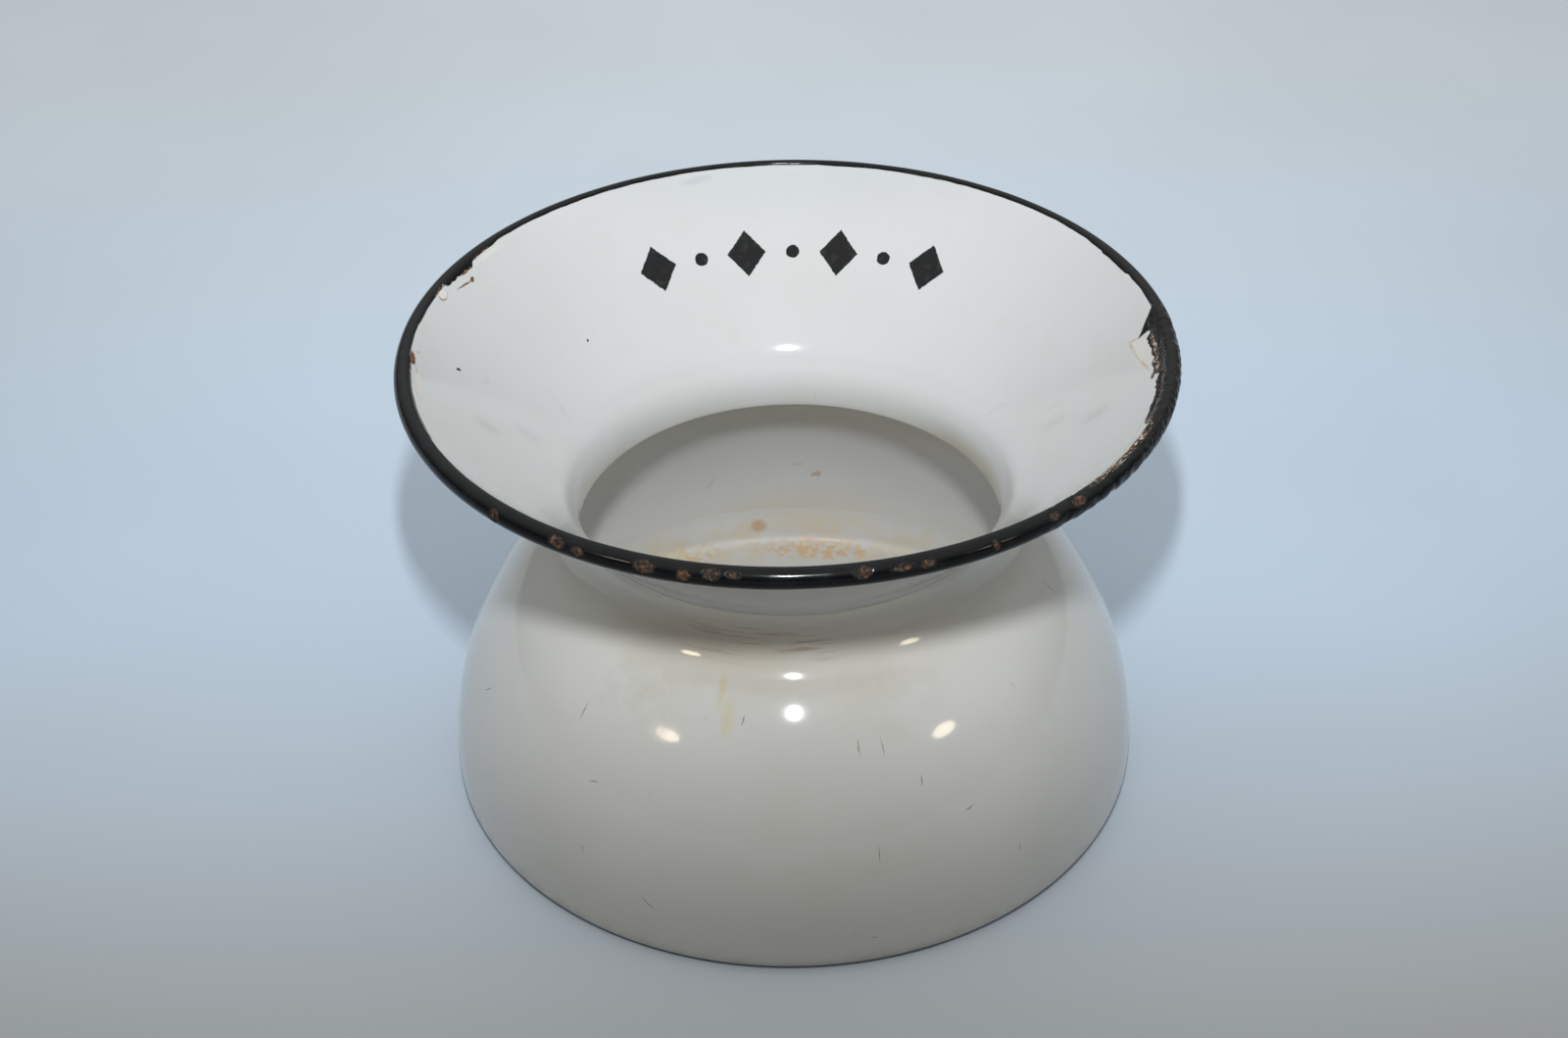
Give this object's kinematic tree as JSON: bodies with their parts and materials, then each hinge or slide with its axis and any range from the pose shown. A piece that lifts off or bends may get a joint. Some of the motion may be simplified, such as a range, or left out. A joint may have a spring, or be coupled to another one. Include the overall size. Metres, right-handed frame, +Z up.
{
  "type": "enamelled steel cuspidor",
  "caption": "Low domed bowl with a narrow neck and a wide flared top, white enamelled sheet steel with a black wired rim.",
  "frame": {"origin": "centre of the flat ring that the bowl rests on", "axes": "+Z up along the axis of revolution; -Y is the side that faces the viewer"},
  "size_m": [0.1906, 0.1906, 0.1255],
  "materials": {
    "bowl_white_enamel": "glossy vitreous enamel, off-white, specked and stained",
    "pan_white_enamel": "glossy vitreous enamel, off-white, rust-stained",
    "top_white_enamel": "glossy vitreous enamel, white",
    "wire_steel": "bare drawn wire",
    "rim_black_enamel": "glossy black enamel, chipped to rust"
  },
  "bodies": {
    "root": {"bowl_shell": "bowl_white_enamel", "base_pan": "pan_white_enamel", "flared_top": "top_white_enamel", "rim_wire": "wire_steel", "rim_enamel": "rim_black_enamel"}
  },
  "joints": []
}
